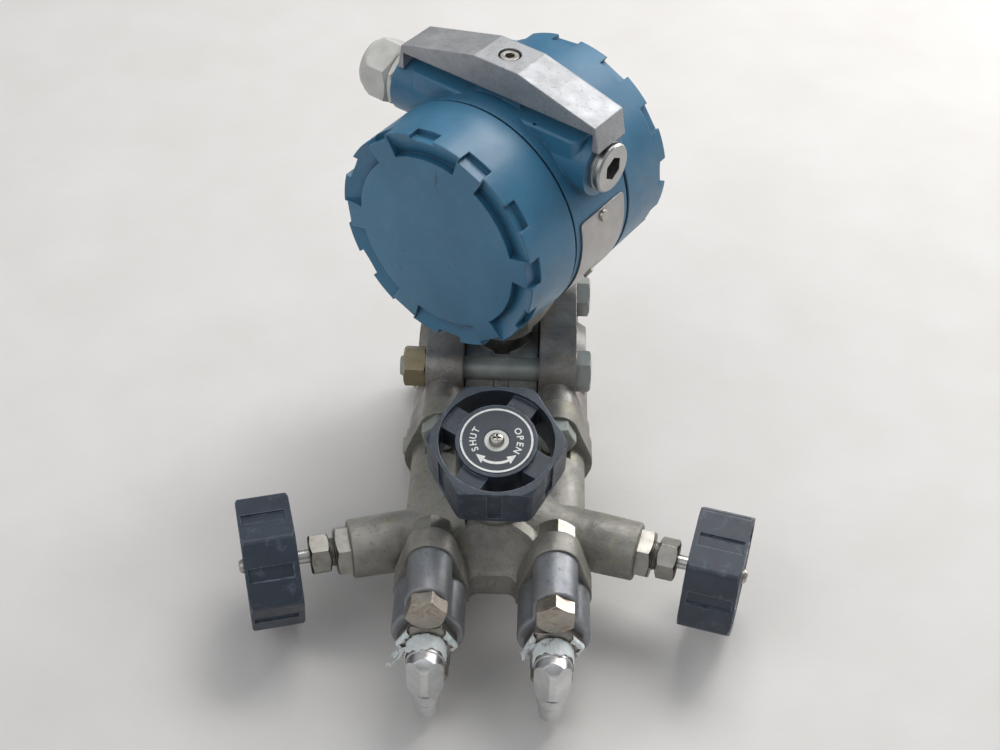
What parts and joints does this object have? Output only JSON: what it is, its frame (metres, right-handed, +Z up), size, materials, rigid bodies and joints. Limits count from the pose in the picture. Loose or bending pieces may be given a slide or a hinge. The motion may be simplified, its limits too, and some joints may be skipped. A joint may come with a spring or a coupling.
{
  "type": "differential pressure transmitter",
  "caption": "Differential pressure transmitter with a turning two-compartment head, clamped process flanges and a front valve manifold with handwheels.",
  "frame": {"origin": "on the rest plane, straight below the middle of the measuring cell", "axes": "+X from the left process flange to the right one, +Y from the manifold towards the back, +Z up along the neck"},
  "size_m": [0.236, 0.2615, 0.2243],
  "materials": {
    "housing_paint": "satin polyurethane paint over cast aluminium, worn at the edges",
    "flange_steel": "sand-cast stainless steel, dulled and stained",
    "cell_steel": "turned stainless steel",
    "foil_steel": "thin corrugated foil",
    "seal_rubber": "black elastomer",
    "bolt_steel": "zinc-plated, greenish passivation",
    "nut_steel": "yellow-brown passivated zinc",
    "fitting_steel": "machined stainless steel",
    "manifold_steel": "cast steel with a thin yellow-green plating",
    "adapter_steel": "smooth blue-grey cast steel",
    "port_bolt_steel": "brown-stained plated steel",
    "bushing_steel": "dark machined steel",
    "elbow_steel": "bright stainless forging",
    "valve_steel": "machined stainless steel",
    "packing_white": "white fluoropolymer",
    "stem_steel": "ground stainless steel",
    "wheel_plastic": "moulded blue-black plastic, pale worn edges",
    "wheel_label": "flat printed disc with a white ring",
    "washer_white": "white plastic",
    "screw_steel": "plated steel",
    "bar_aluminium": "sand-cast aluminium, satin",
    "adjust_plastic": "moulded plastic",
    "gland_plastic": "off-white moulded plastic",
    "plug_steel": "nickel-plated",
    "plate_steel": "thin bare sheet",
    "terminal_plastic": "black moulded plastic",
    "terminal_brass": "nickel-free brass",
    "board_green": "green lacquered laminate"
  },
  "bodies": {
    "base": {"process_flange_left": "flange_steel", "process_flange_right": "flange_steel", "measuring_cell": "cell_steel", "isolator_discs": "foil_steel", "flange_seals": "seal_rubber", "flange_bolts": "bolt_steel", "flange_nuts": "nut_steel", "vent_seats": "fitting_steel", "manifold_body": "manifold_steel", "manifold_seals": "seal_rubber", "manifold_bolts": "bolt_steel", "flange_adapter_left": "adapter_steel", "flange_adapter_right": "adapter_steel", "adapter_seals": "seal_rubber", "adapter_bolts": "port_bolt_steel", "adapter_nuts": "port_bolt_steel", "reducer_bushings": "bushing_steel", "outlet_elbows": "elbow_steel", "valve_bonnets": "valve_steel", "packing_nuts": "valve_steel", "stem_packings": "packing_white", "neck_lock_nut": "fitting_steel"},
    "head": {"electronics_housing": "housing_paint", "front_cover_seal": "seal_rubber", "rear_cover_seal": "seal_rubber", "cover_bar": "bar_aluminium", "bar_screw": "screw_steel", "adjust_screws": "adjust_plastic", "gland_body": "gland_plastic", "gland_nut": "gland_plastic", "gland_seal": "seal_rubber", "conduit_plug": "plug_steel", "nameplate": "plate_steel", "nameplate_screws": "screw_steel", "terminal_block": "terminal_plastic", "terminal_screws": "terminal_brass", "circuit_board": "board_green", "board_posts": "terminal_brass"},
    "front_cover": {"front_cover": "housing_paint"},
    "rear_cover": {"rear_cover": "housing_paint"},
    "tip_left": {"stem_tip_left": "stem_steel"},
    "wheel_left": {"stem_left": "stem_steel", "handwheel_left": "wheel_plastic", "wheel_label_left": "wheel_label", "wheel_washer_left": "washer_white", "wheel_screw_left": "screw_steel"},
    "tip_right": {"stem_tip_right": "stem_steel"},
    "wheel_right": {"stem_right": "stem_steel", "handwheel_right": "wheel_plastic", "wheel_label_right": "wheel_label", "wheel_washer_right": "washer_white", "wheel_screw_right": "screw_steel"},
    "tip_top": {"stem_tip_top": "stem_steel"},
    "wheel_top": {"stem_top": "stem_steel", "handwheel_top": "wheel_plastic", "wheel_label_top": "wheel_label", "wheel_washer_top": "washer_white", "wheel_screw_top": "screw_steel"},
    "vent_left": {"vent_screw_left": "fitting_steel"},
    "vent_right": {"vent_screw_right": "fitting_steel"}
  },
  "joints": [
    {"name": "head_turn", "type": "hinge", "parent": "base", "child": "head", "pos_m": [0, 0, 0.0946], "axis": [0, 0, 1], "range_deg": [-54.6, 125.4]},
    {"name": "front_cover_off", "type": "slide", "parent": "head", "child": "front_cover", "axis": [-0.5793, -0.8151, 0], "range_m": [0, 0.045]},
    {"name": "rear_cover_off", "type": "slide", "parent": "head", "child": "rear_cover", "axis": [0.5793, 0.8151, 0], "range_m": [0, 0.045]},
    {"name": "left_valve_lift", "type": "slide", "parent": "base", "child": "tip_left", "axis": [-0.9677, -0.2521, 0], "range_m": [0, 0.00382]},
    {"name": "left_valve_turn", "type": "hinge", "parent": "tip_left", "child": "wheel_left", "pos_m": [0, -0.1032, 0.04], "axis": [-0.9677, -0.2521, 0], "range_deg": [0, 1080]},
    {"name": "right_valve_lift", "type": "slide", "parent": "base", "child": "tip_right", "axis": [0.9677, -0.2521, 0], "range_m": [0, 0.00382]},
    {"name": "right_valve_turn", "type": "hinge", "parent": "tip_right", "child": "wheel_right", "pos_m": [0, -0.099, 0.04], "axis": [0.9677, -0.2521, 0], "range_deg": [0, 1080]},
    {"name": "top_valve_lift", "type": "slide", "parent": "base", "child": "tip_top", "axis": [0, -0.2521, 0.9677], "range_m": [0, 0.00382]},
    {"name": "top_valve_turn", "type": "hinge", "parent": "tip_top", "child": "wheel_top", "pos_m": [0, -0.099, 0.04], "axis": [0, -0.2521, 0.9677], "range_deg": [0, 1080]},
    {"name": "vent_left_turn", "type": "hinge", "parent": "base", "child": "vent_left", "pos_m": [-0.027, 0.043, 0.04], "axis": [0, 1, 0], "range_deg": [0, 360]},
    {"name": "vent_right_turn", "type": "hinge", "parent": "base", "child": "vent_right", "pos_m": [0.027, 0.043, 0.04], "axis": [0, 1, 0], "range_deg": [0, 360]}
  ],
  "couplings": [
    {"joint": "left_valve_lift", "follows": "left_valve_turn", "m_per_rad": 0.00020213},
    {"joint": "right_valve_lift", "follows": "right_valve_turn", "m_per_rad": 0.00020213},
    {"joint": "top_valve_lift", "follows": "top_valve_turn", "m_per_rad": 0.00020213}
  ]
}
